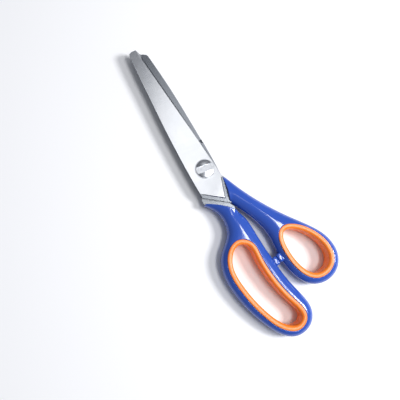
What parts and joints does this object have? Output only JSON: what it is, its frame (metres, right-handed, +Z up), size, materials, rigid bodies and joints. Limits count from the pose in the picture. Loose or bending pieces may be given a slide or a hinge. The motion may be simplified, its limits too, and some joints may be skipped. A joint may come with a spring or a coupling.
{
  "type": "decorative edge scissors",
  "caption": "Zig-zag pinking shears with toothed steel blades, a slotted pivot screw, and moulded handles with soft loop liners.",
  "frame": {"origin": "pivot axis in the plane the shears rest on, at the outer end of the pivot nut", "axes": "+X to the blade tips, +Y to the finger loop, +Z up along the pivot towards the screw head"},
  "size_m": [0.2287, 0.0798, 0.0126],
  "materials": {
    "blade_steel": "satin ground stainless steel",
    "hardware_steel": "bright turned steel",
    "handle_plastic": "glossy injection moulded plastic",
    "grip_rubber": "soft satin thermoplastic rubber"
  },
  "bodies": {
    "lower_half": {"lower_blade": "blade_steel", "finger_handle": "handle_plastic", "finger_grip": "grip_rubber", "pivot_screw": "hardware_steel", "head_washer": "hardware_steel", "lock_washer": "hardware_steel", "pivot_nut": "hardware_steel"},
    "upper_half": {"upper_blade": "blade_steel", "thumb_handle": "handle_plastic", "thumb_grip": "grip_rubber"}
  },
  "joints": [
    {"name": "blade_pivot", "type": "hinge", "parent": "lower_half", "child": "upper_half", "pos_m": [0, 0, 0.0063], "axis": [0, 0, 1], "range_deg": [0, 95]}
  ]
}
